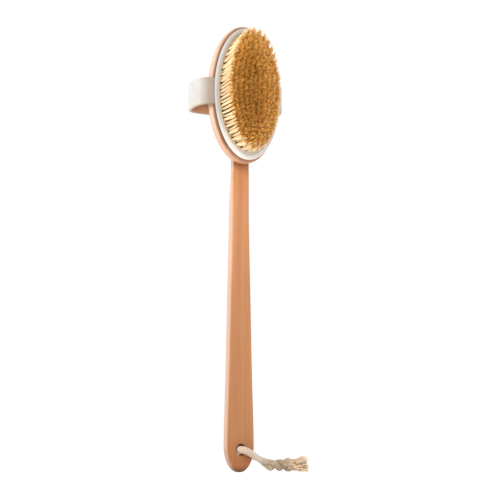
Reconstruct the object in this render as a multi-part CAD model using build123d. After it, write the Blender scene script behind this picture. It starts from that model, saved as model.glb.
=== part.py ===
from build123d import *
import math
import os

# A long-handled body dry brush, standing on the end of its handle.
# +Z runs up the handle, the bristles face -Y and the hand strap is on the +Y side.
# The origin is the middle of the footprint of the whole brush, rope left out.
# All sizes are in millimetres.

# Head: beech back block, oval seen from the front
HEAD_CENTRE_Z = 360.0
BLOCK_HALF_WIDTH = 37.8
BLOCK_HALF_HEIGHT = 67.0
BLOCK_THICKNESS = 16.0
BLOCK_FRONT_ROUND = 2.2
BLOCK_BACK_ROUND = 11.0
POCKET_DEPTH = 4.6
POCKET_CLEARANCE = 0.1

# Bristle plate: a moulded board with a rounded bead round its rim
PLATE_BODY_HALF_WIDTH = 33.5
PLATE_BODY_HALF_HEIGHT = 60.8
FLANGE_HALF_WIDTH = 36.25
FLANGE_HALF_HEIGHT = 64.3
FLANGE_THICKNESS = 2.8
BEAD_WIDTH = 4.0
BEAD_RISE = 0.8
BEAD_ROUND = 1.8
SEAM_GAP = 2.0

# Tufts: rings of flared bundles of plant fibre
TUFT_RINGS = 5
TUFT_PITCH = 6.8
RING_STEP = 6.0
OUTER_RING_HALF_WIDTH = 29.3
OUTER_RING_HALF_HEIGHT = 54.3
CENTRE_ROW_TUFTS = 4
CENTRE_ROW_PITCH = 6.4
TUFT_HOLE_RADIUS = 1.75
TUFT_HOLE_DEPTH = 6.5
TUFT_ROOT_RADIUS = 1.65
TUFT_ROOT_DEPTH = 5.3
TUFT_TIP_RADIUS = 2.4
CENTRE_TIP_REACH = 19.0
RIM_TIP_REACH = 18.0
ANCHOR_LENGTH = 3.2
ANCHOR_DEPTH = 0.9
ANCHOR_THICKNESS = 0.4

# Hand strap: cotton webbing arched over the back, its ends tucked under the flange
STRAP_CENTRE_Z = 359.0
STRAP_WIDTH = 26.5
STRAP_THICKNESS = 2.0
STRAP_BACK_REACH = 42.0
STRAP_EXIT_X = 41.8
STRAP_BULGE_FRONT = (48.3, 10.5)
STRAP_BULGE_BACK = (47.6, 26.0)
STRAP_SHOULDER_X = 40.5
STRAP_BENDS = [1.05, 5.0, 16.0, 14.0, 11.0]
TAB_CENTRE_X = 34.6
TAB_DEPTH = 4.2
TAB_CLEARANCE = 0.05
STAPLE_CROWN = 9.0
STAPLE_WIRE = 0.5
STAPLE_LEG = 2.4
STAPLE_SPACING = 13.0

# Handle: flat beech bar with a thinned neck and a tongue
HANDLE_FRONT_DEPTH = 8.8
HANDLE_THICKNESS = 8.3
HANDLE_EDGE_ROUND = 1.8
HANDLE_END_HALF_WIDTH = 14.8
HANDLE_END_HEIGHT = 24.0
HANDLE_TAPER = [(13.6, 70.0), (11.2, 165.0), (9.5, 240.0)]
QUARTER_ROUND = 0.552
NECK_START_Z = 242.0
NECK_END_Z = 286.0
NECK_HALF_WIDTH = 9.4
TONGUE_HALF_WIDTH = 8.5
TONGUE_THICKNESS = 4.8
TONGUE_DEPTH = 60.0
TONGUE_FIT = 0.15
TONGUE_CHAMFER = 1.0
HANG_HOLE_Z = 21.0
HANG_HOLE_RADIUS = 5.25
HANG_HOLE_BEVEL = 0.6

# Hang rope: a loop of cotton cord, twisted together and knotted
ROPE_RADIUS = 2.6
ROPE_BENDS = [3.05, 9.0, 5.5]
ROPE_STAND_OFF = 1.2
ROPE_BORE_DROP = 1.4
FRONT_DROP = (17.0, 12.8)
BACK_DROP = (17.0, 10.0)
ROPE_LAY_DEPTH = 10.6
MERGE_LENGTH = 7.0
TWIST_START_X = 34.0
TWIST_END_X = 53.0
TWIST_TOP_Z = 9.3
TWIST_LOW_Z = 3.8
KNOT_LENGTH = 12.0
KNOT_HALF_HEIGHT = 6.3
TAIL_RADIUS = 2.4
KNOT_LIFT = 0.1
TAIL_LENGTH = 12.0
TAIL_TOP_Z = 8.9
TAIL_LOW_Z = 3.0

# An edge longer than this runs along the handle or round its hole
LONG_EDGE = 30.0

# Depths are first measured back from the block's front face. This is where that face lies.
FRONT_FACE_Y = (CENTRE_TIP_REACH - STRAP_BACK_REACH) / 2
FLANGE_BACK = -SEAM_GAP
FLANGE_FRONT = FLANGE_BACK - FLANGE_THICKNESS
FIELD_FRONT = FLANGE_FRONT + BEAD_RISE
HANDLE_BACK_DEPTH = HANDLE_FRONT_DEPTH + HANDLE_THICKNESS
TONGUE_BACK_DEPTH = HANDLE_FRONT_DEPTH + TONGUE_THICKNESS
HEAD_BOTTOM_Z = HEAD_CENTRE_Z - BLOCK_HALF_HEIGHT
TONGUE_TOP_Z = HEAD_BOTTOM_Z + TONGUE_DEPTH


def slab(outline, front, back):
    """A flat piece with the given outline in X and Z, between two depths."""
    plane = Plane((0, FRONT_FACE_Y + back, 0), x_dir=(1, 0, 0), z_dir=(0, -1, 0))
    return extrude(plane * outline, amount=back - front)


def oval(half_width, half_height):
    """An oval outline centred on the head."""
    return Pos(0, HEAD_CENTRE_Z) * Ellipse(half_width, half_height)


def block_at(x, depth, z, size_x, size_y, size_z):
    """A rectangular block centred at a place whose depth is from the block's face."""
    return Pos(x, FRONT_FACE_Y + depth, z) * Box(size_x, size_y, size_z)


def edge_loops(solid, side):
    """The edges of a slab that lie on its front or its back face."""
    faces = solid.faces().sort_by(Axis.Y)
    return faces[0 if side == "front" else -1].edges()


def ring_places(half_width, half_height):
    """Evenly spaced points round an oval, as (x, z)."""
    outline = oval(half_width, half_height).edges()[0]
    count = round(outline.length / TUFT_PITCH)
    points = [outline @ (i / count) for i in range(count)]
    return [(p.X, p.Y) for p in points]


def tuft_places():
    """The tufts of each ring from the rim inwards, then the centre row."""
    places = {}
    for ring in range(TUFT_RINGS):
        inset = ring * RING_STEP
        width = OUTER_RING_HALF_WIDTH - inset
        height = OUTER_RING_HALF_HEIGHT - inset
        places[f"ring_{ring + 1}"] = ring_places(width, height)
    middle = (CENTRE_ROW_TUFTS - 1) / 2
    places["centre_row"] = [
        (0, HEAD_CENTRE_Z + (i - middle) * CENTRE_ROW_PITCH) for i in range(CENTRE_ROW_TUFTS)
    ]
    return places


def tip_reach(row):
    """How far in front of the block a row's tips are: the trim is a low dome."""
    if row == "centre_row":
        return CENTRE_TIP_REACH
    inset = (int(row[-1]) - 1) / TUFT_RINGS
    return RIM_TIP_REACH + (CENTRE_TIP_REACH - RIM_TIP_REACH) * (1 - (1 - inset) ** 2)


def make_tuft(reach):
    """One tuft: a round root that stands in the plate, then a flare to the tips."""
    tip = -reach
    root = FIELD_FRONT + TUFT_ROOT_DEPTH
    profile = Polygon(
        (0, root),
        (TUFT_ROOT_RADIUS, root),
        (TUFT_ROOT_RADIUS, FIELD_FRONT),
        (TUFT_TIP_RADIUS, tip),
        (0, tip),
        align=None,
    )
    return revolve(profile, Axis.Y)


def make_back_block():
    """The beech block: rounded edges, a pocket for the plate and a mortise for the tongue."""
    block = slab(oval(BLOCK_HALF_WIDTH, BLOCK_HALF_HEIGHT), 0, BLOCK_THICKNESS)
    block = fillet(edge_loops(block, "back"), BLOCK_BACK_ROUND)
    block = fillet(edge_loops(block, "front"), BLOCK_FRONT_ROUND)
    pocket_width = PLATE_BODY_HALF_WIDTH + POCKET_CLEARANCE
    pocket_height = PLATE_BODY_HALF_HEIGHT + POCKET_CLEARANCE
    block -= slab(oval(pocket_width, pocket_height), -1, POCKET_DEPTH)
    recess_width = STRAP_THICKNESS + 2 * TAB_CLEARANCE
    recess_height = STRAP_WIDTH + 4 * TAB_CLEARANCE
    for side in (-1, 1):
        block -= block_at(
            side * TAB_CENTRE_X, POCKET_DEPTH / 2, STRAP_CENTRE_Z,
            recess_width, POCKET_DEPTH, recess_height,
        )
    mortise_height = TONGUE_DEPTH + TONGUE_FIT
    block -= block_at(
        0, HANDLE_FRONT_DEPTH + TONGUE_THICKNESS / 2, HEAD_BOTTOM_Z + mortise_height / 2,
        2 * (TONGUE_HALF_WIDTH + TONGUE_FIT), TONGUE_THICKNESS + 2 * TONGUE_FIT, mortise_height,
    )
    for side in (-1, 1):
        block -= make_staples(side)
    return block


def make_bristle_plate(places):
    """The moulded board: a body that fills the pocket, a beaded flange and the tuft holes."""
    flange = slab(oval(FLANGE_HALF_WIDTH, FLANGE_HALF_HEIGHT), FLANGE_FRONT, FLANGE_BACK)
    flange = fillet(edge_loops(flange, "front"), BEAD_ROUND)
    flange = fillet(edge_loops(flange, "back"), BEAD_ROUND / 2)
    field_width = FLANGE_HALF_WIDTH - BEAD_WIDTH
    field_height = FLANGE_HALF_HEIGHT - BEAD_WIDTH
    flange -= slab(oval(field_width, field_height), FLANGE_FRONT - 1, FIELD_FRONT)
    body = slab(
        oval(PLATE_BODY_HALF_WIDTH, PLATE_BODY_HALF_HEIGHT),
        FLANGE_BACK,
        POCKET_DEPTH - POCKET_CLEARANCE,
    )
    holes = Sketch() + [
        Pos(x, z) * Circle(TUFT_HOLE_RADIUS) for row in places.values() for x, z in row
    ]
    return flange + body - slab(holes, FIELD_FRONT - 1, FIELD_FRONT + TUFT_HOLE_DEPTH)


def make_tuft_row(row, places):
    """All the tufts of one row, each a solid of its own."""
    tuft = make_tuft(tip_reach(row))
    return Compound(children=[Pos(x, FRONT_FACE_Y, z) * tuft for x, z in places])


def make_anchor_row(places):
    """The flat wire anchors at the bottom of the row's holes."""
    depth = FIELD_FRONT + TUFT_ROOT_DEPTH + ANCHOR_DEPTH / 2 + 0.1
    return Compound(
        children=[
            block_at(x, depth, z, ANCHOR_THICKNESS, ANCHOR_DEPTH, ANCHOR_LENGTH) for x, z in places
        ]
    )


def strap_line():
    """The middle of the webbing seen from above: two tucked tabs and the arch between them."""
    lay = -SEAM_GAP / 2
    side = [
        (TAB_CENTRE_X, TAB_DEPTH),
        (TAB_CENTRE_X, lay),
        (STRAP_EXIT_X, lay),
        STRAP_BULGE_FRONT,
        STRAP_BULGE_BACK,
        (STRAP_SHOULDER_X, STRAP_BACK_REACH - STRAP_THICKNESS / 2),
    ]
    points = [(-x, y) for x, y in side] + [(x, y) for x, y in reversed(side)]
    return FilletPolyline(
        *[(x, FRONT_FACE_Y + y) for x, y in points], radius=STRAP_BENDS + STRAP_BENDS[::-1]
    )


def make_strap():
    """Cotton webbing of one width, bent along the strap line."""
    section = trace(strap_line(), line_width=STRAP_THICKNESS)
    low = STRAP_CENTRE_Z - STRAP_WIDTH / 2
    strap = Pos(0, 0, low) * extrude(section, amount=STRAP_WIDTH, dir=(0, 0, 1))
    for side in (-1, 1):
        strap -= make_staples(side)
    return strap


def make_staples(side):
    """Two wire staples that hold one tab against the wall of the pocket."""
    crown_x = TAB_CENTRE_X - STRAP_THICKNESS / 2 + STAPLE_WIRE / 2
    depth = TAB_DEPTH / 2 + 0.4
    pieces = []
    for place in (-1, 1):
        z = STRAP_CENTRE_Z + place * STAPLE_SPACING / 2
        staple = block_at(side * crown_x, depth, z, STAPLE_WIRE, STAPLE_WIRE, STAPLE_CROWN)
        for end in (-1, 1):
            leg_z = z + end * (STAPLE_CROWN - STAPLE_WIRE) / 2
            leg_x = side * (crown_x + STAPLE_LEG / 2)
            staple += block_at(leg_x, depth, leg_z, STAPLE_LEG, STAPLE_WIRE, STAPLE_WIRE)
        pieces.append(staple)
    return Compound(children=pieces)


def handle_outline():
    """The bar's outline: a round end, a long taper and a slight flare at the neck."""
    wide = HANDLE_END_HALF_WIDTH
    end = Bezier(
        (0, 0),
        (QUARTER_ROUND * wide, 0),
        (wide, (1 - QUARTER_ROUND) * HANDLE_END_HEIGHT),
        (wide, HANDLE_END_HEIGHT),
    )
    side = Spline(
        (wide, HANDLE_END_HEIGHT),
        *HANDLE_TAPER,
        (NECK_HALF_WIDTH, NECK_END_Z),
        tangents=[(0, 1), (0, 1)],
    )
    top = Line((NECK_HALF_WIDTH, NECK_END_Z), (-NECK_HALF_WIDTH, NECK_END_Z))
    return make_face([end, side, top, mirror(side, Plane.YZ), mirror(end, Plane.YZ)])


def make_handle():
    """The beech bar with its neck thinned from behind, its tongue and its hang hole."""
    bar = slab(handle_outline(), HANDLE_FRONT_DEPTH, HANDLE_BACK_DEPTH)
    back = FRONT_FACE_Y + HANDLE_BACK_DEPTH
    tongue_back = FRONT_FACE_Y + TONGUE_BACK_DEPTH
    slope = Spline(
        (back, NECK_START_Z),
        (tongue_back, NECK_END_Z),
        tangents=[(0, 1), (0, 1)],
    )
    rest = Polyline(
        (tongue_back, NECK_END_Z), (tongue_back, NECK_END_Z + 5),
        (back + 5, NECK_END_Z + 5), (back + 5, NECK_START_Z), (back, NECK_START_Z),
    )
    waste = Plane.YZ * make_face([slope, rest])
    bar -= extrude(waste, amount=BLOCK_HALF_WIDTH, both=True)
    long_edges = bar.edges().filter_by(lambda e: e.length > LONG_EDGE)
    bar = fillet(long_edges, HANDLE_EDGE_ROUND)
    tongue = block_at(
        0, HANDLE_FRONT_DEPTH + TONGUE_THICKNESS / 2, (NECK_END_Z + TONGUE_TOP_Z) / 2,
        2 * TONGUE_HALF_WIDTH, TONGUE_THICKNESS, TONGUE_TOP_Z - NECK_END_Z,
    )
    tongue = chamfer(tongue.edges().group_by(Axis.Z)[-1], TONGUE_CHAMFER)
    hole = Pos(0, HANG_HOLE_Z) * Circle(HANG_HOLE_RADIUS)
    bar -= slab(hole, HANDLE_FRONT_DEPTH - 1, HANDLE_BACK_DEPTH + 1)
    rims = bar.edges().filter_by(GeomType.CIRCLE).filter_by(lambda e: e.length > LONG_EDGE)
    bar = chamfer(rims, HANG_HOLE_BEVEL)
    return bar + tongue


def rope_tube(points, radii, radius=ROPE_RADIUS):
    """A round cord along straight runs joined by arcs."""
    places = [(x, FRONT_FACE_Y + depth, z) for x, depth, z in points]
    path = FilletPolyline(*places, radius=radii) if radii else Line(*places)
    section = Plane(origin=path @ 0, z_dir=path % 0) * Circle(radius)
    tube = sweep(section, path=path)
    expected = math.pi * radius**2 * path.length
    print(f"rope run {path.length:.1f} mm, volume ratio {tube.volume / expected:.3f}, radii {radii}")
    return tube


def make_rope():
    """The hang loop: through the bore, round both faces, twisted, knotted and frayed."""
    turn_front = HANDLE_FRONT_DEPTH - HANG_HOLE_BEVEL
    turn_back = HANDLE_BACK_DEPTH + HANG_HOLE_BEVEL
    front_lay = HANDLE_FRONT_DEPTH - ROPE_RADIUS - ROPE_STAND_OFF
    back_lay = HANDLE_BACK_DEPTH + ROPE_RADIUS + ROPE_STAND_OFF
    bore_z = HANG_HOLE_Z - ROPE_BORE_DROP
    merge_x = TWIST_START_X - MERGE_LENGTH
    lay = ROPE_LAY_DEPTH
    front = [
        (0, turn_front, bore_z),
        (0, front_lay, bore_z),
        (FRONT_DROP[0], front_lay, FRONT_DROP[1]),
        (merge_x, lay, TWIST_TOP_Z),
        (TWIST_START_X, lay, TWIST_TOP_Z),
    ]
    back = [
        (0, turn_back, bore_z),
        (0, back_lay, bore_z),
        (BACK_DROP[0], back_lay, BACK_DROP[1]),
        (merge_x, lay, TWIST_LOW_Z),
        (TWIST_START_X, lay, TWIST_LOW_Z),
    ]
    tail_start = TWIST_END_X + KNOT_LENGTH
    tail_end = tail_start + TAIL_LENGTH
    twist_middle = (TWIST_TOP_Z + TWIST_LOW_Z) / 2
    section = SlotCenterToCenter(TWIST_TOP_Z - TWIST_LOW_Z, 2 * ROPE_RADIUS, rotation=90)
    twist_start = (TWIST_START_X, FRONT_FACE_Y + lay, twist_middle)
    twist_plane = Plane(twist_start, x_dir=(0, 1, 0), z_dir=(1, 0, 0))
    twist = extrude(twist_plane * section, amount=TWIST_END_X - TWIST_START_X)
    knot_x = TWIST_END_X + KNOT_LENGTH / 2
    barrel = Cylinder(KNOT_HALF_HEIGHT, KNOT_LENGTH)
    barrel = fillet(barrel.edges().filter_by(GeomType.CIRCLE), KNOT_LENGTH / 4)
    knot = Pos(knot_x, FRONT_FACE_Y + lay, KNOT_HALF_HEIGHT + KNOT_LIFT) * Rot(0, 90, 0) * barrel
    upper = [(tail_start, lay, TAIL_TOP_Z), (tail_end, lay, TAIL_TOP_Z)]
    lower = [(tail_start, lay, TAIL_LOW_Z), (tail_end, lay, TAIL_LOW_Z)]
    return {
        "rope_front_strand": rope_tube(front, ROPE_BENDS),
        "rope_bore_stretch": rope_tube([(0, turn_front, bore_z), (0, turn_back, bore_z)], None),
        "rope_back_strand": rope_tube(back, ROPE_BENDS),
        "rope_twist": twist,
        "rope_knot": knot,
        "rope_tail_upper": rope_tube(upper, None, TAIL_RADIUS),
        "rope_tail_lower": rope_tube(lower, None, TAIL_RADIUS),
    }


def make_parts():
    """Every node of the brush by name."""
    places = tuft_places()
    parts = {
        "handle": make_handle(),
        "back_block": make_back_block(),
        "bristle_plate": make_bristle_plate(places),
        "strap_webbing": make_strap(),
        "strap_staples_left": make_staples(-1),
        "strap_staples_right": make_staples(1),
    }
    for row, spots in places.items():
        parts[f"tufts_{row}"] = make_tuft_row(row, spots)
        parts[f"anchors_{row}"] = make_anchor_row(spots)
    parts.update(make_rope())
    return parts


os.makedirs("parts", exist_ok=True)
for name, shape in make_parts().items():
    export_step(shape, f"parts/{name}.step")
    box = shape.bounding_box()
    print(f"{name}: {box.min} to {box.max}, {len(shape.solids())} solids, {shape.volume:.0f} mm3")
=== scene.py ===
import math

import bpy
import numpy as np
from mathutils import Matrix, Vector


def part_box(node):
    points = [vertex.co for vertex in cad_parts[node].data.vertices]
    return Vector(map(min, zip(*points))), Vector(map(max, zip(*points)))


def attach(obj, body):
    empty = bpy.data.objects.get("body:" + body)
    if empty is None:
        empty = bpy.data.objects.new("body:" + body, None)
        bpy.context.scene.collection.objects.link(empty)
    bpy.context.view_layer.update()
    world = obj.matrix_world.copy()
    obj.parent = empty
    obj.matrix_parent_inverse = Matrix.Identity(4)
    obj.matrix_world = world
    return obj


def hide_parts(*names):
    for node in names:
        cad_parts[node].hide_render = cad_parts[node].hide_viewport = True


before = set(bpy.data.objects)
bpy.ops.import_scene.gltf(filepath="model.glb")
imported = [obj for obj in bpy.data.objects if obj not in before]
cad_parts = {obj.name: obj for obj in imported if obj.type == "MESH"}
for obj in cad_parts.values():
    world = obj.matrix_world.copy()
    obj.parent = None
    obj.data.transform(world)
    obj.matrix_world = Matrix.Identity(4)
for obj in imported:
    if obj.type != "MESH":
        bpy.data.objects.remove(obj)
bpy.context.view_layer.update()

MM = 0.001
HEAD = "head_body"
HANDLE = "handle_body"
SEED = 7
ROWS = ("ring_1", "ring_2", "ring_3", "ring_4", "ring_5", "centre_row")

# ---------------------------------------------------------------- places read from the frame

block_low, block_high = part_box("back_block")
strap_low, strap_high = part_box("strap_webbing")
FACE_Y = block_low.y
HEAD_Z = (block_low.z + block_high.z) / 2
STRAP_Z = (strap_low.z + strap_high.z) / 2
STRAP_WIDTH = strap_high.z - strap_low.z


# ---------------------------------------------------------------- camera and lights

CAMERA_SIDE = math.radians(30.9)
CAMERA_DISTANCE = 1.45
CAMERA_HEIGHT = 0.02
CAMERA_CENTRE_Y = FACE_Y - 11.8 * MM
LOOK_AZIMUTH = math.radians(30.82)
LOOK_PITCH = math.radians(7.38)
LENS_MM = 111.6
SENSOR_MM = 36

# name, place, target, width and height, watts
LIGHTS = (
    ("key", (-1.7, -0.2, 0.9), (0, 0, 0.28), (0.9, 1.2), 15),
    ("head_key", (-0.7, -1.0, 1.2), (0, 0, 0.38), (0.5, 0.5), 12),
    ("edge", (-1.2, 1.7, 0.35), (0, 0, 0.22), (0.7, 1.3), 7),
)


def add_object(name, data):
    """A new object of that data, in the scene."""
    thing = bpy.data.objects.new(name, data)
    bpy.context.scene.collection.objects.link(thing)
    return thing


def aim(thing, direction):
    """Turns a camera or light to look along a direction."""
    thing.rotation_euler = direction.to_track_quat("-Z", "Y").to_euler()


def make_camera():
    """A long lens near floor level, to the brush's left, tilted up a little."""
    data = bpy.data.cameras.new("camera")
    data.lens = LENS_MM
    data.sensor_width = SENSOR_MM
    data.clip_start = 0.05
    data.clip_end = 30
    camera = add_object("camera", data)
    camera.location = (
        -CAMERA_DISTANCE * math.sin(CAMERA_SIDE),
        CAMERA_CENTRE_Y - CAMERA_DISTANCE * math.cos(CAMERA_SIDE),
        CAMERA_HEIGHT,
    )
    aim(camera, Vector((
        math.sin(LOOK_AZIMUTH) * math.cos(LOOK_PITCH),
        math.cos(LOOK_AZIMUTH) * math.cos(LOOK_PITCH),
        math.sin(LOOK_PITCH),
    )))
    bpy.context.scene.camera = camera


def make_area_light(name, place, target, size, watts):
    data = bpy.data.lights.new(name, "AREA")
    data.shape = "RECTANGLE"
    data.size, data.size_y = size
    data.energy = watts
    light = add_object(name, data)
    light.location = place
    aim(light, Vector(target) - Vector(place))


def make_studio():
    """White surroundings and soft lights, most of them on the brush's left."""
    scene = bpy.context.scene
    scene.view_settings.view_transform = "Standard"
    world = bpy.data.worlds.new("studio")
    world.use_nodes = True
    background = world.node_tree.nodes["Background"]
    background.inputs["Color"].default_value = (1, 1, 1, 1)
    background.inputs["Strength"].default_value = 1.0
    scene.world = world
    for light in LIGHTS:
        make_area_light(*light)


# ---------------------------------------------------------------- material helpers

def is_socket(value):
    return hasattr(value, "links")


class Nodes:
    """A short way to write a material's nodes."""

    def __init__(self, name):
        self.material = bpy.data.materials.new(name)
        self.material.use_nodes = True
        self.tree = self.material.node_tree
        self.shader = self.tree.nodes["Principled BSDF"]
        self.place = self.add("ShaderNodeTexCoord").outputs["Object"]

    def add(self, kind, **values):
        node = self.tree.nodes.new(kind)
        for key, value in values.items():
            setattr(node, key, value)
        return node

    def link(self, source, target):
        self.tree.links.new(source, target)

    def feed(self, target, value):
        """Links a socket, or sets a number or colour, on the target socket."""
        if is_socket(value):
            self.link(value, target)
        elif isinstance(value, tuple):
            target.default_value = (*value, 1)
        else:
            target.default_value = value

    def parts(self, vector):
        """The X, Y and Z sockets of a vector."""
        node = self.add("ShaderNodeSeparateXYZ")
        self.link(vector, node.inputs["Vector"])
        return node.outputs

    def scaled(self, x, y, z):
        """The object's place in units of 1/x, 1/y and 1/z metres."""
        node = self.add("ShaderNodeMapping")
        node.inputs["Scale"].default_value = (x, y, z)
        self.link(self.place, node.inputs["Vector"])
        return node.outputs["Vector"]

    def noise(self, vector, detail=2.0, roughness=0.5, distortion=0.0):
        node = self.add("ShaderNodeTexNoise")
        node.inputs["Scale"].default_value = 1.0
        node.inputs["Detail"].default_value = detail
        node.inputs["Roughness"].default_value = roughness
        node.inputs["Distortion"].default_value = distortion
        self.link(vector, node.inputs["Vector"])
        return node.outputs["Fac"]

    def ramp(self, value, *stops):
        """A colour ramp: each stop is (place, colour)."""
        node = self.add("ShaderNodeValToRGB")
        points = node.color_ramp.elements
        while len(points) < len(stops):
            points.new(0.5)
        for point, (place, colour) in zip(points, stops):
            point.position = place
            point.color = (*colour, 1)
        self.link(value, node.inputs["Fac"])
        return node.outputs["Color"]

    def spread(self, value, low, high, to_low=0.0, to_high=1.0):
        """value from low..high to to_low..to_high, clamped; each may be a number or a socket."""
        node = self.add("ShaderNodeMapRange")
        names = ("From Min", "From Max", "To Min", "To Max")
        for name, number in zip(names, (low, high, to_low, to_high)):
            self.feed(node.inputs[name], number)
        self.link(value, node.inputs["Value"])
        return node.outputs["Result"]

    def mix(self, amount, first, second, blend="MIX"):
        """Two colours or colour sockets mixed; amount is a number or a socket."""
        node = self.add("ShaderNodeMix", data_type="RGBA", blend_type=blend)
        colour_a, colour_b = node.inputs[6], node.inputs[7]
        for socket, value in ((node.inputs["Factor"], amount), (colour_a, first), (colour_b, second)):
            self.feed(socket, value)
        colour_result = node.outputs[2]
        return colour_result

    def grey(self, value):
        """A value as a colour."""
        node = self.add("ShaderNodeCombineColor")
        for socket in node.inputs:
            self.link(value, socket)
        return node.outputs["Color"]

    def maths(self, operation, first, second=0.0):
        node = self.add("ShaderNodeMath", operation=operation)
        for socket, value in zip(node.inputs, (first, second)):
            self.feed(socket, value)
        return node.outputs["Value"]

    def bump(self, height, distance):
        node = self.add("ShaderNodeBump")
        node.inputs["Distance"].default_value = distance
        node.inputs["Strength"].default_value = 1.0
        self.link(height, node.inputs["Height"])
        self.link(node.outputs["Normal"], self.shader.inputs["Normal"])

    def set(self, **values):
        for key, value in values.items():
            self.shader.inputs[key.replace("_", " ")].default_value = value

    def colour(self, socket):
        self.link(socket, self.shader.inputs["Base Color"])

    def roughness(self, socket):
        self.link(socket, self.shader.inputs["Roughness"])


# ---------------------------------------------------------------- wood

# Noise cells to the metre, across X, across Y and along the grain.
BROAD_GRAIN = (110, 60, 5)
FINE_GRAIN = (900, 500, 16)
PORES = (2600, 1600, 130)

BROAD_SHARE = 0.6
FINE_SHARE = 0.4
FLECK_STRENGTH = 0.45
WOOD_RELIEF = 0.06 * MM
TINTED_HEIGHT = 0.30
FOOT_HEIGHT = 6 * MM
# Heights up the block over which the painted shade on its forward faces grows to full strength.
SEAM_LOW_Z = block_low.z + 4 * MM
SEAM_HIGH_Z = block_low.z + 20 * MM
# Painted sheen: a whitish colour, and how much of it is mixed into wood that faces sideways, standing in for
# the lacquer's reflection.
SIDE_SHEEN = (0.55, 0.47, 0.40)
SIDE_SHEEN_SHARE = 0.3

HANDLE_TONES = {
    "dark": (0.425, 0.165, 0.060), "middle": (0.48, 0.20, 0.076), "light": (0.53, 0.24, 0.10),
    "fleck": (0.31, 0.11, 0.038),
}
# Painted shade up the handle, as ramp stops from the floor up: darker low down where the light falls off,
# and a dark band just under the head as a painted shadow.
HANDLE_SHADE_RAMP = (
    (0.0, (0.60, 0.43, 0.15)), (0.12, (0.76, 0.71, 0.57)), (0.5, (0.87, 0.86, 0.82)),
    (0.85, (1.0, 0.99, 0.97)), (0.955, (1.0, 0.90, 0.74)), (0.98, (0.64, 0.52, 0.38)),
)
HANDLE_FOOT_SHADE = 0.22

BLOCK_TONES = {
    "dark": (0.54, 0.24, 0.115), "middle": (0.62, 0.31, 0.165), "light": (0.70, 0.39, 0.225),
    "fleck": (0.38, 0.15, 0.07),
}
BLOCK_FRONT_SHADE = 0.38


def make_beech(name, tones, shade_ramp=(), foot=1.0, front=1.0):
    """Lacquered beech: long soft grain up Z with short brown ray flecks, and a painted sheen that makes it
    paler where it faces sideways.
    The tint ramp stops paint shade from the floor up to TINTED_HEIGHT: darker low down where the light falls
    off, and a painted shadow just under the head. foot and front are how much of the colour is left under
    painted shade at the lowest end, and where the wood faces forwards into the plate's shadow, less so low
    on the block."""
    nodes = Nodes(name)
    broad = nodes.noise(nodes.scaled(*BROAD_GRAIN), detail=3, distortion=0.6)
    fine = nodes.noise(nodes.scaled(*FINE_GRAIN), detail=4, roughness=0.65)
    pores = nodes.noise(nodes.scaled(*PORES), detail=2)
    grain = nodes.maths(
        "ADD", nodes.maths("MULTIPLY", broad, BROAD_SHARE), nodes.maths("MULTIPLY", fine, FINE_SHARE),
    )
    base = nodes.ramp(grain, (0.34, tones["dark"]), (0.5, tones["middle"]), (0.66, tones["light"]))
    flecks = nodes.spread(pores, 0.62, 0.74)
    base = nodes.mix(nodes.maths("MULTIPLY", flecks, FLECK_STRENGTH), base, tones["fleck"])
    height = nodes.parts(nodes.place)["Z"]
    # painted shade up the wood's height
    if shade_ramp:
        tint = nodes.ramp(nodes.spread(height, 0.0, TINTED_HEIGHT), *shade_ramp)
        base = nodes.mix(1.0, base, tint, "MULTIPLY")
    facing = nodes.parts(nodes.add("ShaderNodeNewGeometry").outputs["Normal"])
    # painted sheen: sideways faces are paled towards a whitish colour
    sides = nodes.spread(nodes.maths("ABSOLUTE", facing["X"]), 0.55, 0.95, 0.0, SIDE_SHEEN_SHARE)
    base = nodes.mix(sides, base, SIDE_SHEEN)
    # painted shade: forward faces darkened as if in the plate's shadow, less so low on the block, and the
    # lowest end darkened as if in its contact shadow
    seam = nodes.spread(height, SEAM_LOW_Z, SEAM_HIGH_Z, (1 + front) / 2, front)
    shadow = nodes.maths(
        "MULTIPLY",
        nodes.spread(height, 0.0, FOOT_HEIGHT, foot, 1.0),
        nodes.spread(facing["Y"], -0.85, -0.2, seam, 1.0),
    )
    nodes.colour(nodes.mix(1.0, base, nodes.grey(shadow), "MULTIPLY"))
    nodes.roughness(nodes.spread(fine, 0.3, 0.7, 0.38, 0.52))
    nodes.set(Coat_Weight=0.3, Coat_Roughness=0.22, Specular_IOR_Level=0.4)
    nodes.bump(nodes.maths("SUBTRACT", fine, nodes.maths("MULTIPLY", flecks, 0.5)), WOOD_RELIEF)
    return nodes.material


# ---------------------------------------------------------------- plate, wire and cotton

FIELD_HALF_WIDTH = 32.2 * MM
FIELD_HALF_HEIGHT = 60.3 * MM
PLATE_DARK = (0.475, 0.445, 0.41)
PLATE_LIGHT = (0.53, 0.50, 0.465)
# Painted shade: the brown of the plate's field inside the rim, as if shaded by the bristles.
BRISTLE_SHADE = (0.44, 0.32, 0.15)
PLATE_RELIEF = 0.04 * MM


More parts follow.
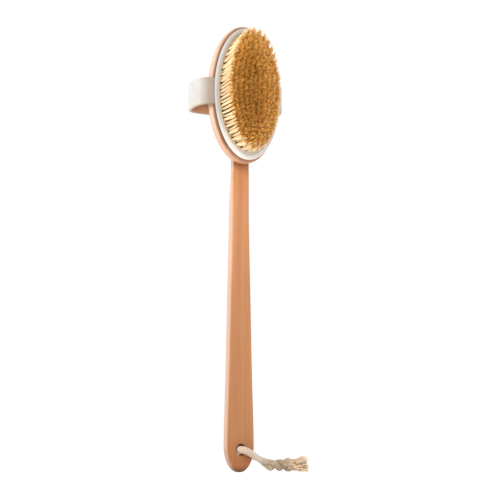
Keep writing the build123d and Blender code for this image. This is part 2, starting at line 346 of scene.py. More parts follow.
def make_plate_plastic():
    """Matt cream plastic with a faint mottle, painted light that makes it lighter low down, and brown
    painted shade from the bristles inside the rim, weaker low down.
    """
    nodes = Nodes("cream_plate")
    mottle = nodes.noise(nodes.scaled(160, 160, 160), detail=3)
    speck = nodes.noise(nodes.scaled(1500, 1500, 1500), detail=2)
    base = nodes.ramp(mottle, (0.3, PLATE_DARK), (0.7, PLATE_LIGHT))
    oval = nodes.add("ShaderNodeMapping")
    oval.inputs["Location"].default_value = (0, 0, -HEAD_Z / FIELD_HALF_HEIGHT)
    oval.inputs["Scale"].default_value = (1 / FIELD_HALF_WIDTH, 0, 1 / FIELD_HALF_HEIGHT)
    nodes.link(nodes.place, oval.inputs["Vector"])
    reach = nodes.add("ShaderNodeVectorMath", operation="LENGTH")
    nodes.link(oval.outputs["Vector"], reach.inputs[0])
    height = nodes.parts(nodes.place)["Z"]
    # painted shade inside the rim under the bristles, weaker low down
    bristle_shade = nodes.maths(
        "MULTIPLY",
        nodes.spread(reach.outputs["Value"], 0.97, 1.005, 0.85, 0.0),
        nodes.spread(height, HEAD_Z - 62 * MM, HEAD_Z - 40 * MM, 0.1, 1.0),
    )
    # painted light: the plate is made lighter low down and darker higher up
    lit = nodes.spread(height, HEAD_Z - 64 * MM, HEAD_Z - 20 * MM, 1.45, 0.76)
    base = nodes.mix(1.0, base, nodes.grey(lit), "MULTIPLY")
    nodes.colour(nodes.mix(bristle_shade, base, BRISTLE_SHADE))
    nodes.roughness(nodes.spread(speck, 0.3, 0.7, 0.42, 0.58))
    nodes.bump(speck, PLATE_RELIEF)
    return nodes.material


def make_wire():
    """Drawn steel wire."""
    nodes = Nodes("steel_wire")
    lines = nodes.noise(nodes.scaled(4000, 4000, 400), detail=2)
    nodes.colour(nodes.ramp(lines, (0.3, (0.42, 0.42, 0.43)), (0.7, (0.6, 0.6, 0.61))))
    nodes.roughness(nodes.spread(lines, 0.3, 0.7, 0.3, 0.45))
    nodes.set(Metallic=1.0)
    return nodes.material


ROPE_SHADE = (0.70, 0.575, 0.46)
ROPE_LIGHT = (0.82, 0.71, 0.60)
ROPE_YARN = 0.5 * MM
# Colour multipliers by place along X, from the bore out to the tails: darkest in the twist, lightest at the
# tails.
ROPE_ALONG_TONES = (
    (0.03, (0.70, 0.64, 0.60)), (0.17, (0.80, 0.78, 0.76)), (0.29, (0.64, 0.60, 0.55)),
    (0.44, (0.60, 0.52, 0.42)), (0.54, (0.48, 0.41, 0.32)), (0.66, (0.73, 0.64, 0.51)),
    (0.76, (1.18, 1.03, 0.81)),
)
ALONG_REACH = 80 * MM

WEBBING_SHADE = (0.445, 0.415, 0.385)
WEBBING_LIGHT = (0.495, 0.47, 0.445)
WEBBING_YARN = 0.6 * MM
COTTON_RELIEF = 0.12 * MM


def make_cotton(name, shade, light, weave, tinted=False, along_tones=()):
    """Cotton yarn with soft fibres; weave is the size of a yarn in metres. A tinted piece brings its own
    tint of painted light and shade, and the ramp stops given along X, out to a set reach, make the colour
    darker or lighter by place along the rope."""
    nodes = Nodes(name)
    cells = 0.6 / weave
    cloud = nodes.noise(nodes.scaled(90, 90, 90), detail=3)
    yarn = nodes.noise(nodes.scaled(cells, cells, cells), detail=4, roughness=0.7)
    base = nodes.ramp(cloud, (0.3, shade), (0.7, light))
    base = nodes.mix(nodes.spread(yarn, 0.35, 0.65, 0.25, 0.0), base, tuple(0.6 * c for c in shade))
    if tinted:
        tint = nodes.add("ShaderNodeAttribute", attribute_name="tint").outputs["Color"]
        base = nodes.mix(1.0, base, tint, "MULTIPLY")
    if along_tones:
        along = nodes.spread(nodes.parts(nodes.place)["X"], 0.0, ALONG_REACH)
        base = nodes.mix(1.0, base, nodes.ramp(along, *along_tones), "MULTIPLY")
        mottle = nodes.noise(nodes.scaled(620, 620, 620), detail=2, roughness=0.6)
        worn = nodes.maths(
            "MULTIPLY", nodes.spread(mottle, 0.42, 0.6), nodes.spread(along, 0.3, 0.45, 0.0, 0.8),
        )
        base = nodes.mix(worn, base, tuple(0.5 * c * c for c in shade))
    nodes.colour(base)
    nodes.set(Roughness=0.9, Specular_IOR_Level=0.2, Sheen_Weight=0.4, Sheen_Roughness=0.5)
    nodes.bump(yarn, COTTON_RELIEF)
    return nodes.material


# ---------------------------------------------------------------- mesh helpers

def new_piece(name, points, faces, material, body, stands_for, smooth=True):
    """A mesh piece that rides on a body and stands for CAD nodes."""
    mesh = bpy.data.meshes.new(name)
    mesh.from_pydata([tuple(p) for p in points], [], faces)
    mesh.validate()
    if smooth:
        mesh.shade_smooth()
    mesh.materials.append(material)
    piece = add_object(name, mesh)
    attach(piece, body)
    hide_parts(*stands_for)
    return piece


def smooth_line(points, step):
    """A NURBS line with those control points, read back and spaced evenly."""
    curve = bpy.data.curves.new("guide", "CURVE")
    curve.dimensions = "3D"
    curve.resolution_u = 24
    spline = curve.splines.new("NURBS")
    spline.points.add(len(points) - 1)
    for point, place in zip(spline.points, points):
        point.co = (*place, 1)
    spline.order_u = 3
    spline.use_endpoint_u = True
    guide = bpy.data.objects.new("guide", curve)
    mesh = bpy.data.meshes.new_from_object(guide)
    line = np.array([v.co for v in mesh.vertices], float)
    bpy.data.meshes.remove(mesh)
    bpy.data.objects.remove(guide)
    bpy.data.curves.remove(curve)
    return evenly(line, step)


def distance_along(line):
    """How far along the line each of its points is."""
    return np.concatenate([[0], np.cumsum(np.linalg.norm(np.diff(line, axis=0), axis=1))])


def evenly(line, step):
    """The same line with points about step apart."""
    along = distance_along(line)
    places = np.linspace(0, along[-1], max(3, round(along[-1] / step) + 1))
    return np.stack([np.interp(places, along, line[:, k]) for k in range(3)], axis=1)


def length_of(line):
    return float(np.linalg.norm(np.diff(line, axis=0), axis=1).sum())


def unit(vectors):
    return vectors / np.maximum(np.linalg.norm(vectors, axis=-1, keepdims=True), 1e-12)


def frames_along(line):
    """The line's direction at each point and two directions across it, turning as little as possible."""
    tangent = unit(np.gradient(line, axis=0))
    first = np.zeros_like(line)
    start = np.cross(tangent[0], (0.0, 0.0, 1.0))
    if np.linalg.norm(start) < 0.1:
        start = np.cross(tangent[0], (0.0, 1.0, 0.0))
    first[0] = unit(start)
    for i in range(1, len(line)):
        moved = first[i - 1] - tangent[i] * (first[i - 1] @ tangent[i])
        first[i] = unit(moved)
    return tangent, first, np.cross(tangent, first)


def tube_faces(rings, sides):
    """The quads of a tube of that many rings, and its two end caps."""
    faces = []
    for i in range(rings - 1):
        a, b = i * sides, (i + 1) * sides
        for j in range(sides):
            k = (j + 1) % sides
            faces.append((a + j, a + k, b + k, b + j))
    faces.append(tuple(reversed(range(sides))))
    last = (rings - 1) * sides
    faces.append(tuple(last + j for j in range(sides)))
    return faces


def tube(line, radius, sides, ridges=0, ridge_length=math.inf, ridge_height=0.0):
    """The points and faces of a tube; ridges wind round it like yarns, one turn in each ridge_length."""
    _, first, second = frames_along(line)
    radius = np.broadcast_to(radius, (len(line),))
    angle = np.linspace(0, 2 * math.pi, sides, endpoint=False)
    winding = 2 * math.pi / ridge_length * distance_along(line)
    wave = 1 + ridge_height * np.cos(ridges * angle[None, :] + winding[:, None])
    reach = radius[:, None] * wave
    points = (
        line[:, None, :]
        + first[:, None, :] * (reach * np.cos(angle))[:, :, None]
        + second[:, None, :] * (reach * np.sin(angle))[:, :, None]
    )
    return points.reshape(-1, 3), tube_faces(len(line), sides)


def joined(parts):
    """Several (points, faces) as one."""
    points, faces, count = [], [], 0
    for p, f in parts:
        points.append(p)
        faces += [tuple(i + count for i in face) for face in f]
        count += len(p)
    return np.concatenate(points), faces


def paint_attribute(piece, name, kind, values):
    """A float or colour for each point of a piece, which its material reads by name."""
    layer = piece.data.attributes.new(name, kind, "POINT")
    field = "color" if kind == "FLOAT_COLOR" else "value"
    layer.data.foreach_set(field, values.reshape(-1).astype(np.float32))


# ---------------------------------------------------------------- bristles

FIBRES_EACH = 84
FIBRE_RADIUS = 0.19 * MM
FIBRE_RINGS = 5
FIBRE_SIDES = 3
FIBRE_BOW = 0.16 * MM
FIBRE_SPREAD_LATE = 0.16
CLUMPS_EACH = 6
CLUMP_SPREAD = 1.9 * MM
CLUMP_LIFT = 0.6 * MM
CLUMP_TONE = 0.1

ANCHOR_REACH = 2.6 * MM
FIELD_Y = FACE_Y - 4.0 * MM
ROOT_DEPTH = 0.8 * MM
ROOT_RADIUS = 1.05 * MM
TUFT_REACH = 3.2 * MM

TIP_HALF_WIDTH = 29.2 * MM
TIP_HALF_HEIGHT = 59.8 * MM
TIP_RAISE = 2.8 * MM
TIP_INSET = 2.6 * MM
TUFT_SCATTER = 0.55 * MM
TIP_SCATTER = 0.22 * MM
TIP_UNEVEN = 0.3 * MM
GOLDEN_TURN = math.pi * (3 - math.sqrt(5))

RIM_EDGE = -0.2
RIM_GATHER = 0.42
RIM_STRAYS = 0.06
INNER_STRAYS = 0.01
GAP_REACH = 3.0 * MM
GAP_LIFT = 0.7
GAP_LIFT_INNER = 2.6
DARK_CENTRE_X = -8 * MM


def make_bristle_fibre():
    """Plant fibre: cream, with painted light keeping the outer sides cream and painted shade turning it
    golden brown towards the cut tips.
    """
    nodes = Nodes("plant_fibre")
    tone = nodes.add("ShaderNodeAttribute", attribute_name="tone").outputs["Fac"]
    island = nodes.add("ShaderNodeNewGeometry").outputs["Random Per Island"]
    # tone 0 is the fibre's own cream; higher tone is painted shade, golden brown to dark
    base = nodes.ramp(
        tone,
        (0.0, (1.0, 0.80, 0.57)),
        (0.4, (1.0, 0.67, 0.25)),
        (0.62, (1.0, 0.54, 0.12)),
        (1.0, (0.66, 0.31, 0.055)),
    )
    shade = nodes.spread(island, 0.0, 1.0, 0.72, 1.0)
    nodes.colour(nodes.mix(nodes.spread(tone, 0.1, 0.55, 0.3, 1.0), base, nodes.grey(shade), "MULTIPLY"))
    nodes.set(Roughness=0.5, Specular_IOR_Level=0.25)
    return nodes.material


def tuft_places(row):
    """The (x, z) of each tuft of a row: the middles of its anchors."""
    found = []
    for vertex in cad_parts[f"anchors_{row}"].data.vertices:
        spot = np.array((vertex.co.x, vertex.co.z))
        near = next((g for g in found if np.linalg.norm(g[0] - spot) < ANCHOR_REACH), None)
        if near is None:
            found.append([spot, [spot]])
        else:
            near[1].append(spot)
            near[0] = np.mean(near[1], axis=0)
    return [(np.min(g[1], axis=0) + np.max(g[1], axis=0)) / 2 for g in found]


def plan_fibres(random):
    """Each fibre's row, root and tip: the tips fill the trimmed face, and the nearest tuft owns each.
    The tips of a tuft draw together into a few clumps, each with its own height and tone."""
    spots, rows = [], []
    for number, row in enumerate(ROWS):
        places = tuft_places(row)
        spots += places
        rows += [number] * len(places)
    spots, rows = np.array(spots), np.array(rows)
    middle = np.array((0.0, HEAD_Z))
    outer = np.abs(spots[rows == 0] - middle).max(axis=0)
    shrink = (np.array((TIP_HALF_WIDTH, TIP_HALF_HEIGHT)) - TIP_INSET) / outer
    tip_spots = middle + (spots - middle) * shrink + (0, TIP_RAISE)
    tip_spots = tip_spots + random.normal(0, TUFT_SCATTER, spots.shape)
    count = FIBRES_EACH * len(spots)
    reach = np.sqrt((np.arange(count) + 0.5) / count)
    turn = GOLDEN_TURN * np.arange(count)
    tips = middle + (0, TIP_RAISE) + np.stack(
        [reach * np.cos(turn) * TIP_HALF_WIDTH, reach * np.sin(turn) * TIP_HALF_HEIGHT], axis=1,
    )
    tips += random.normal(0, TIP_SCATTER, (count, 2))
    owner = np.argmin(np.linalg.norm(tips[:, None] - tip_spots[None], axis=2), axis=1)
    offset = tips - tip_spots[owner]
    far = np.linalg.norm(offset, axis=1)
    pull = np.minimum(ROOT_RADIUS / TUFT_REACH, ROOT_RADIUS / np.maximum(far, 1e-6))
    roots = spots[owner] + offset * pull[:, None]
    clumps = tip_spots[:, None] + random.normal(0, CLUMP_SPREAD, (len(spots), CLUMPS_EACH, 2))
    away = np.linalg.norm(tips[:, None] - clumps[owner], axis=2)
    chosen = np.argmin(away, axis=1)
    target = clumps[owner, chosen]
    tips += (target - tips) * random.uniform(0.1, 0.42, (count, 1))
    clump_lift = random.normal(0, CLUMP_LIFT, (len(spots), CLUMPS_EACH))[owner, chosen]
    clump_tone = random.normal(0, CLUMP_TONE, (len(spots), CLUMPS_EACH))[owner, chosen]
    return rows[owner], spots[owner], tip_spots[owner], roots, tips, clump_lift, clump_tone


def shape_fibres(random):
    """Each fibre's row, the points of its rings, and the tone at each ring, which paints shade that deepens
    towards the tips. Fibres at the outer rim are drawn into spokes and kept cream as painted light; the face
    has painted shade near its middle and in the gaps between tufts, where those fibres are also cut shorter."""
    rows, spots, own_tips, roots, tips, lift, clump_tone = plan_fibres(random)
    count = len(rows)
    middle = np.array((0.0, HEAD_Z))
    reach_y = np.array([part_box(f"tufts_{row}")[0].y for row in ROWS])[rows]
    outward = unit(spots - middle)
    edge = ((roots - spots) * outward).sum(axis=1) / ROOT_RADIUS
    rim = (rows == 0) & (edge > RIM_EDGE)
    tip_y = reach_y + lift + random.normal(0, TIP_UNEVEN, count)
    tip_y += np.where(rim, random.uniform(-0.3, 1.1, count) * MM, 0)
    stray = random.random(count) < np.where(rim, RIM_STRAYS, INNER_STRAYS)
    spoke = np.stack([-outward[:, 1], outward[:, 0]], axis=1)
    aside = ((tips - own_tips) * spoke).sum(axis=1, keepdims=True)
    tips = tips - np.where(rim[:, None], RIM_GATHER * aside * spoke, 0)
    tips = tips + np.where(stray[:, None], outward * random.uniform(0.5, 2.6, (count, 1)) * MM, 0)
    start = np.stack([roots[:, 0], np.full(count, FIELD_Y + ROOT_DEPTH), roots[:, 1]], axis=1)
    end = np.stack([tips[:, 0], tip_y, tips[:, 1]], axis=1)
    spread = (tips - middle - (DARK_CENTRE_X, 0)) / (0.8 * TIP_HALF_WIDTH, TIP_HALF_HEIGHT)
    inner = np.clip(1 - (spread**2).sum(axis=1), 0, 1)
    gap = np.clip(np.linalg.norm(tips - own_tips, axis=1) / GAP_REACH - 0.5, 0, 1) * ~rim
    end[:, 1] += gap * (GAP_LIFT + GAP_LIFT_INNER * inner) * MM
    share = np.linspace(0, 1, FIBRE_RINGS)
    belly = np.sin(share * math.pi)
    sideways = (end - start) * (1, 0, 1)
    bow = random.normal(0, FIBRE_BOW, (count, 3)) * (1, 0, 1)
    line = start[:, None] + (end - start)[:, None] * share[:, None]
    line -= sideways[:, None] * (FIBRE_SPREAD_LATE * belly)[:, None]
    line += bow[:, None] * belly[:, None]
    corners = np.arange(FIBRE_SIDES) * 2 * math.pi / FIBRE_SIDES
    angle = random.uniform(0, 2 * math.pi, count)[:, None] + corners
    across = np.stack([np.cos(angle), np.zeros_like(angle), np.sin(angle)], axis=2)
    size = FIBRE_RADIUS * random.uniform(0.8, 1.25, count)[:, None] * (1 - 0.2 * share)
    points = line[:, :, None] + across[:, None] * size[:, :, None, None]
    # painted shade: darker towards the tips, near the face's middle and in the gaps between tufts;
    # clump_tone is the fibre's own tone, different at random
    tone = 0.2 + 0.4 * share[None] ** 1.5 + (clump_tone + (0.4 + 0.5 * gap) * inner)[:, None]
    # painted light: rim fibres keep their cream to the tips, as lit along the outer ring
    cream = rim * np.clip(0.55 + edge, 0, 1)
    tone = np.clip(tone * (1 - 0.85 * cream[:, None]), 0, 1)
    return rows, points, tone


def make_tufts(material, random):
    """Every fibre of the brush: a thin three-sided blade with its own bend, one piece for each row."""
    rows, points, tone = shape_fibres(random)
    one = tube_faces(FIBRE_RINGS, FIBRE_SIDES)
    quads = np.array([f for f in one if len(f) == 4])
    caps = np.array([f for f in one if len(f) == 3])
    for number, row in enumerate(ROWS):
        mine = rows == number
        step = (np.arange(int(mine.sum())) * FIBRE_RINGS * FIBRE_SIDES)[:, None, None]
        faces = (quads[None] + step).reshape(-1, 4).tolist() + (caps[None] + step).reshape(-1, 3).tolist()
        piece = new_piece(
            f"bristles_{row}", points[mine].reshape(-1, 3), faces, material, HEAD,
            [f"tufts_{row}"], smooth=False,
        )
        paint_attribute(piece, "tone", "FLOAT", np.repeat(tone[mine].reshape(-1), FIBRE_SIDES))


# ---------------------------------------------------------------- hand strap

STRAP_STEP = 0.38 * MM
STRAP_HALF_THICK = 1.3 * MM
STRAP_COLUMNS = 64
STRAP_EDGE_STEPS = 5
YARN_WIDTH = 1.25 * MM
YARN_RELIEF = 0.09 * MM
SAG_DEPTH = 1.3 * MM
SAG_CENTRE = 26 * MM
SAG_REACH = 14 * MM
SAG_EDGE_X = -10 * MM
WAVER = 0.12 * MM
WAVER_LENGTH = 9 * MM

# Painted shade on the strap's inner face, brown with warm light bounced off the wood, darker higher up.
INNER_SHADE_TINT = np.array((1.25, 0.72, 0.40))
INNER_SHADE_RISE = 7 * MM
HEAD_SHADE_TINT = np.array((0.64, 0.54, 0.46))
HEAD_SHADE_DEPTH = 7 * MM
# Painted light: a warm band along the strap's lower edge, standing in for its lit thickness seen from below.
LOW_EDGE_LIGHT_TINT = np.array((1.0, 0.86, 0.66))
LOW_EDGE_LIGHT_HEIGHT = 1.6 * MM


def strap_route():
    """The strap seen from above: left end, over the back, right end; millimetres from the block's face."""
    left = [
        (-34.6, 4.0), (-34.6, -0.2), (-35.2, -1.0), (-38.5, -1.0), (-42.0, 0.6),
        (-46.0, 6.0), (-48.0, 14.0), (-47.2, 24.0), (-43.4, 34.0), (-35.5, 39.6), (-22.0, 40.6),
    ]
    right = [
        (20.0, 40.6), (33.0, 39.6), (42.0, 34.6), (46.0, 26.0), (46.2, 18.0), (44.0, 10.0), (41.0, 3.0),
        (38.6, -0.6), (35.2, -1.0), (34.6, -0.2), (34.6, 4.0),
    ]
    return [(x * MM, FACE_Y + y * MM, 0.0) for x, y in left + [(0.0, 40.6)] + right]


def strap_tint(line, ring):
    """Each point's tint: painted shade beside the head, a warm painted light along the lower edge, and brown
    painted shade with warm light bounced off the wood on the inner face, darker higher up.
    """
    rise = (ring[:, :, 2] - ring[:, :, 2].min(axis=1, keepdims=True))[:, :, None]
    beside = np.clip((HEAD_SHADE_DEPTH - (line[:, 1] - FACE_Y)) / HEAD_SHADE_DEPTH, 0, 1)
    beside = beside * (line[:, 0] < 0)
    tint = 1 + (HEAD_SHADE_TINT - 1) * beside[:, None, None] * np.ones_like(rise)
    # painted light: the warm band along the lower edge
    tint = tint * (1 + (LOW_EDGE_LIGHT_TINT - 1) * np.clip(1.4 - rise / LOW_EDGE_LIGHT_HEIGHT, 0, 1))
    # painted shade with warm bounced light on the inner face
    inner_shade = INNER_SHADE_TINT * np.clip(1.15 - 0.5 * rise / INNER_SHADE_RISE, 0.5, 1.15)
    inner_start = STRAP_COLUMNS + STRAP_EDGE_STEPS
    inner_end = inner_start + STRAP_COLUMNS
    tint[:, inner_start:inner_end] = inner_shade[:, inner_start:inner_end]
    return tint


def make_strap(material):
    """Plain-woven cotton webbing: real thickness, raised yarns and round firm edges."""
    line = smooth_line(strap_route(), STRAP_STEP)
    tangent = unit(np.gradient(line, axis=0))
    outward = np.stack([tangent[:, 1], -tangent[:, 0], np.zeros(len(line))], axis=1) * -1
    across = np.linspace(-0.5, 0.5, STRAP_COLUMNS)
    along = np.arange(len(line)) * length_of(line) / (len(line) - 1)
    weave = (
        np.cos(math.pi * along[:, None] / YARN_WIDTH)
        * np.cos(math.pi * across[None] * STRAP_WIDTH / YARN_WIDTH)
    )
    lift = STRAP_HALF_THICK + YARN_RELIEF * weave
    drop = STRAP_HALF_THICK - YARN_RELIEF * weave
    off_centre = (line[:, 1] - FACE_Y - SAG_CENTRE) / SAG_REACH
    sag = -SAG_DEPTH * np.exp(-(off_centre**2)) * (line[:, 0] < SAG_EDGE_X)
    waver = (sag + WAVER * np.sin(along / WAVER_LENGTH))[:, None]
    z = STRAP_Z + across[None] * (STRAP_WIDTH - STRAP_HALF_THICK * 2) + waver
    front = line[:, None, :] + outward[:, None, :] * lift[:, :, None]
    back = line[:, None, :] - outward[:, None, :] * drop[:, :, None]
    front[:, :, 2] = z
    back[:, :, 2] = z

    def round_edge(column, first_turn):
        """The half-round edge beyond one column of the webbing."""
        turns = np.linspace(0, math.pi, STRAP_EDGE_STEPS + 2)[1:-1] + first_turn
        edge = line[:, None, :] + outward[:, None, :] * (STRAP_HALF_THICK * np.cos(turns))[None, :, None]
        edge[:, :, 2] = z[:, column][:, None] + STRAP_HALF_THICK * np.sin(turns)[None]
        return edge

    ring = np.concatenate([front, round_edge(-1, 0), back[:, ::-1], round_edge(0, math.pi)], axis=1)
    faces = tube_faces(len(line), ring.shape[1])
    piece = new_piece(
        "hand_strap", ring.reshape(-1, 3), faces, material, HEAD, ["strap_webbing"],
    )
    tint = strap_tint(line, ring).reshape(-1, 3)
    paint_attribute(piece, "tint", "FLOAT_COLOR", np.concatenate([tint, np.ones((len(tint), 1))], axis=1))


# ---------------------------------------------------------------- hang rope

ROPE = 5.2 * MM
ROPE_STEP = 0.4 * MM
PLIES = 3
PLY_SIDES = 12
PLY_YARNS = 5
LAY_LENGTH = 7.5 * MM
YARN_TURN = 2.2 * MM

# Millimetres: depths are from the block's face, the rest along X or Z.
LAY_DEPTH = 10.6
TWIST_START = 33.0
TWIST_END = 50.0
TWIST_Z = 6.4
TWIST_HALF_DEPTH = 2.4
TWIST_HALF_HEIGHT = 2.65
TWIST_TURN = 1.6 * math.pi
KNOT_START = 48.6
KNOT_END = 58.6
KNOT_Z = 6.8
KNOT_INSET = 2.6
KNOT_REACH = 3.55
KNOT_BULGE = 0.5
TAIL_START = 57.5
TAIL_HALF_WIDTH = 2.2
TAIL_LOWEST = 0.65
TAIL_UPPER_Z = 9.4
TAIL_UPPER_RISE = 1.8
TAIL_LOWER_Z = 4.2
TAIL_LOWER_RISE = -1.0

KNOT_TURNS = 2.1
KNOT_LAY_LENGTH = 8 * MM
KNOT_FUZZ = 90
STRAND_FUZZ = 160
TAIL_YARNS = 34
TAIL_FIBRES = 60

# How thick a strand is, as a share of ROPE, at these millimetres from its start.
SWELL_PLACES = (0, 12, 24, 38, 46)
SWELL = (1.3, 1.3, 1.02, 1.0, 1.12)


def at(points):
    """Rope points given as (x, depth from the block's face, z) in millimetres, in metres."""
    return [(x * MM, FACE_Y + depth * MM, z * MM) for x, depth, z in points]


FRONT_ROUTE = at([
    (-1.0, 12.9, 21.0), (0.2, 8.6, 20.8), (1.2, 4.8, 20.8), (7.0, 3.8, 18.0), (14.0, 4.8, 14.2),
    (20.5, 7.6, 12.0), (26.0, 9.2, 10.2), (TWIST_START, 10.2, 9.2),
])
BACK_ROUTE = at([
    (-1.0, 12.9, 21.0), (1.6, 16.5, 22.6), (2.6, 21.0, 22.2), (8.0, 21.4, 18.4), (18.0, 19.0, 15.0),
    (25.0, 16.0, 11.8), (28.0, 13.8, 8.2), (TWIST_START, LAY_DEPTH, 3.9),
])


def twist_line(start_turn):
    """One strand's helix through the twisted stretch."""
    share = np.linspace(0, 1, 24)[1:]
    turn = start_turn + share * TWIST_TURN
    x = TWIST_START + (TWIST_END - TWIST_START) * share
    y = LAY_DEPTH + TWIST_HALF_DEPTH * np.cos(turn)
    z = TWIST_Z + TWIST_HALF_HEIGHT * np.sin(turn)
    return at(zip(x, y, z))


def strand_line(route, start_turn):
    """One strand's middle, from inside the bore to the knot."""
    return evenly(np.array(list(smooth_line(route, ROPE_STEP)) + twist_line(start_turn)), ROPE_STEP)


def laid_strand(line, radius, lay=LAY_LENGTH):
    """Plies wound round a line, each with yarn ridges."""
    _, first, second = frames_along(line)
    along = distance_along(line)
    radius = np.broadcast_to(radius, (len(line),))
    parts = []
    for ply in range(PLIES):
        turn = 2 * math.pi * (ply / PLIES + along / lay)
        centre = (
            line
            + first * (0.5 * radius * np.cos(turn))[:, None]
            + second * (0.5 * radius * np.sin(turn))[:, None]
        )
        parts.append(tube(centre, 0.56 * radius, PLY_SIDES, PLY_YARNS, YARN_TURN, 0.07))
    return joined(parts)


def fuzz(line, radius, count, random):
    """Short loose fibres that stand off a rope."""
    tangent, first, second = frames_along(line)
    share = np.linspace(0, 1, 4)[:, None]
    parts = []
    for _ in range(count):
        i = random.integers(2, len(line) - 2)
        turn = random.uniform(0, 2 * math.pi)
        outward = first[i] * math.cos(turn) + second[i] * math.sin(turn)
        lean = unit(outward + tangent[i] * random.normal(0, 0.9) + random.normal(0, 0.3, 3))
        start = line[i] + outward * radius * 0.85
        long = 1.6 * MM * random.uniform(0.4, 1.0)
        bend = random.normal(0, 0.25, 3) * long
        path = start + lean * long * share + bend * share**2
        path[:, 2] = np.maximum(path[:, 2], 0.05 * MM)
        parts.append(tube(path, 0.035 * MM * (1 - 0.6 * share[:, 0]), 3))
    return parts


def make_knot(material, random):
    """The knot pulled tight, drawn as two turns of rope round the strands."""
    share = np.linspace(0, 1, 90)
    turn = 0.6 + share * KNOT_TURNS * 2 * math.pi
    swell = KNOT_REACH + KNOT_BULGE * np.sin(share * math.pi)
    x = KNOT_START + KNOT_INSET + share * (KNOT_END - KNOT_START - 2 * KNOT_INSET)
    y = LAY_DEPTH + swell * np.cos(turn)
    z = KNOT_Z + (swell * 1.02) * np.sin(turn)
    line = evenly(np.array(at(zip(x, y, z))), ROPE_STEP)
    wrap = laid_strand(line, 2.55 * MM, lay=KNOT_LAY_LENGTH)
    core_x = np.linspace(KNOT_START, KNOT_END + 1.5, 30)
    core = laid_strand(np.array(at((x, LAY_DEPTH, TWIST_Z) for x in core_x)), ROPE / 2)
    points, faces = joined([wrap, core] + fuzz(line, 2.4 * MM, KNOT_FUZZ, random))
    return new_piece("rope_knot_wrap", points, faces, material, HANDLE, ["rope_knot"])


def yarn_path(start, end, steps, lowest, wave=None):
    """A loose yarn from start to end in millimetres, waved from a start angle, as points in metres."""
    share = np.linspace(0, 1, steps)[:, None]
    path = start + (end - start) * share
    if wave is not None:
        path[:, 1] += 0.3 * np.sin(share[:, 0] * 9 + wave)
        path[:, 2] += 0.3 * np.cos(share[:, 0] * 8 + wave)
    path[:, 2] = np.maximum(path[:, 2], lowest)
    path = path * MM
    path[:, 1] += FACE_Y
    return path


def make_tail(name, z_start, rise, material, random):
    """A short cut end that has come unlaid into loose yarns, with finer fibres among them."""
    parts = []
    for _ in range(TAIL_YARNS):
        turn = random.uniform(0, 2 * math.pi)
        reach = TAIL_HALF_WIDTH * math.sqrt(random.uniform(0, 1))
        depth, height = reach * math.cos(turn), reach * math.sin(turn)
        start = np.array((TAIL_START, LAY_DEPTH + depth, z_start + height))
        long = random.uniform(14.5, 17.5)
        flare = 2.05 + 0.3 * random.normal()
        end = np.array((
            TAIL_START + long,
            LAY_DEPTH + depth * flare + random.normal(0, 0.4),
            z_start + rise + height * flare + random.normal(0, 0.3),
        ))
        path = yarn_path(start, end, 14, TAIL_LOWEST, wave=random.uniform(0, 2 * math.pi))
        parts.append(tube(path, 0.54 * MM, 6, 2, 1.2 * MM, 0.12))
    for _ in range(TAIL_FIBRES):
        start = np.array((
            random.uniform(TAIL_START + 3, TAIL_START + 13),
            LAY_DEPTH + random.normal(0, 1.6),
            z_start + random.normal(0, 1.4),
        ))
        end = start + np.array((random.uniform(2.0, 4.5), random.normal(0, 1.4), random.normal(0, 1.5)))
        parts.append(tube(yarn_path(start, end, 5, 0.1), 0.05 * MM, 3))
    points, faces = joined(parts)
    return new_piece(f"{name}_frayed", points, faces, material, HANDLE, [name])


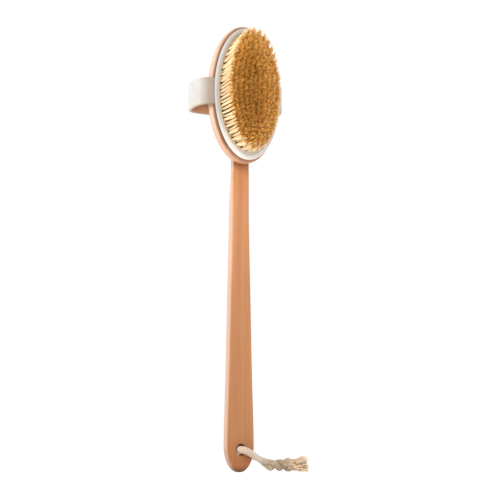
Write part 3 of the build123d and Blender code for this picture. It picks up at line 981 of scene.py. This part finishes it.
def make_rope(material, random):
    """The loop's two strands, its knot and its frayed ends."""
    front = strand_line(FRONT_ROUTE, math.pi / 2)
    back = strand_line(BACK_ROUTE, -math.pi / 2)
    for name, line, nodes in (
        ("rope_front", front, ["rope_front_strand", "rope_bore_stretch", "rope_twist"]),
        ("rope_back", back, ["rope_back_strand"]),
    ):
        along = np.linspace(0, length_of(line), len(line))
        radius = np.interp(along / MM, SWELL_PLACES, SWELL) * ROPE / 2
        points, faces = joined([laid_strand(line, radius)] + fuzz(line, ROPE / 2, STRAND_FUZZ, random))
        new_piece(name, points, faces, material, HANDLE, nodes)
    knot = make_knot(material, random)
    tails = [
        make_tail("rope_tail_upper", TAIL_UPPER_Z, TAIL_UPPER_RISE, material, random),
        make_tail("rope_tail_lower", TAIL_LOWER_Z, TAIL_LOWER_RISE, material, random),
    ]


# ---------------------------------------------------------------- floor

FLOOR_HALF = 6.0
FLOOR_DROP = 0.5 * MM
FLOOR_GREY = 0.62
FLOOR_GLOW = 0.42


def make_floor():
    """A plain white floor that glows a little, so that its shadows stay faint."""
    signs = ((-1, -1), (1, -1), (1, 1), (-1, 1))
    corners = [(x * FLOOR_HALF, y * FLOOR_HALF, -FLOOR_DROP) for x, y in signs]
    mesh = bpy.data.meshes.new("floor")
    mesh.from_pydata(corners, [], [(0, 1, 2, 3)])
    floor = add_object("floor", mesh)
    paint = Nodes("floor_paint")
    paint.set(
        Base_Color=(FLOOR_GREY, FLOOR_GREY, FLOOR_GREY, 1), Roughness=0.9, Specular_IOR_Level=0.0,
        Emission_Color=(1, 1, 1, 1), Emission_Strength=FLOOR_GLOW,
    )
    mesh.materials.append(paint.material)


# ---------------------------------------------------------------- building

def paint_node(node, material):
    """Gives a CAD node that stays its own material."""
    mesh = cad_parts[node].data
    mesh.materials.clear()
    mesh.materials.append(material)


def build():
    random = np.random.default_rng(SEED)
    make_camera()
    make_studio()
    make_floor()
    make_rope(make_cotton("rope_cotton", ROPE_SHADE, ROPE_LIGHT, ROPE_YARN, along_tones=ROPE_ALONG_TONES), random)
    paint_node("handle", make_beech("beech_handle", HANDLE_TONES, HANDLE_SHADE_RAMP, foot=HANDLE_FOOT_SHADE))
    paint_node("back_block", make_beech("beech_block", BLOCK_TONES, front=BLOCK_FRONT_SHADE))
    paint_node("bristle_plate", make_plate_plastic())
    wire = make_wire()
    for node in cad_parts:
        if node.startswith(("anchors_", "strap_staples_")):
            paint_node(node, wire)
    make_strap(make_cotton("webbing_cotton", WEBBING_SHADE, WEBBING_LIGHT, WEBBING_YARN, tinted=True))
    make_tufts(make_bristle_fibre(), random)


build()
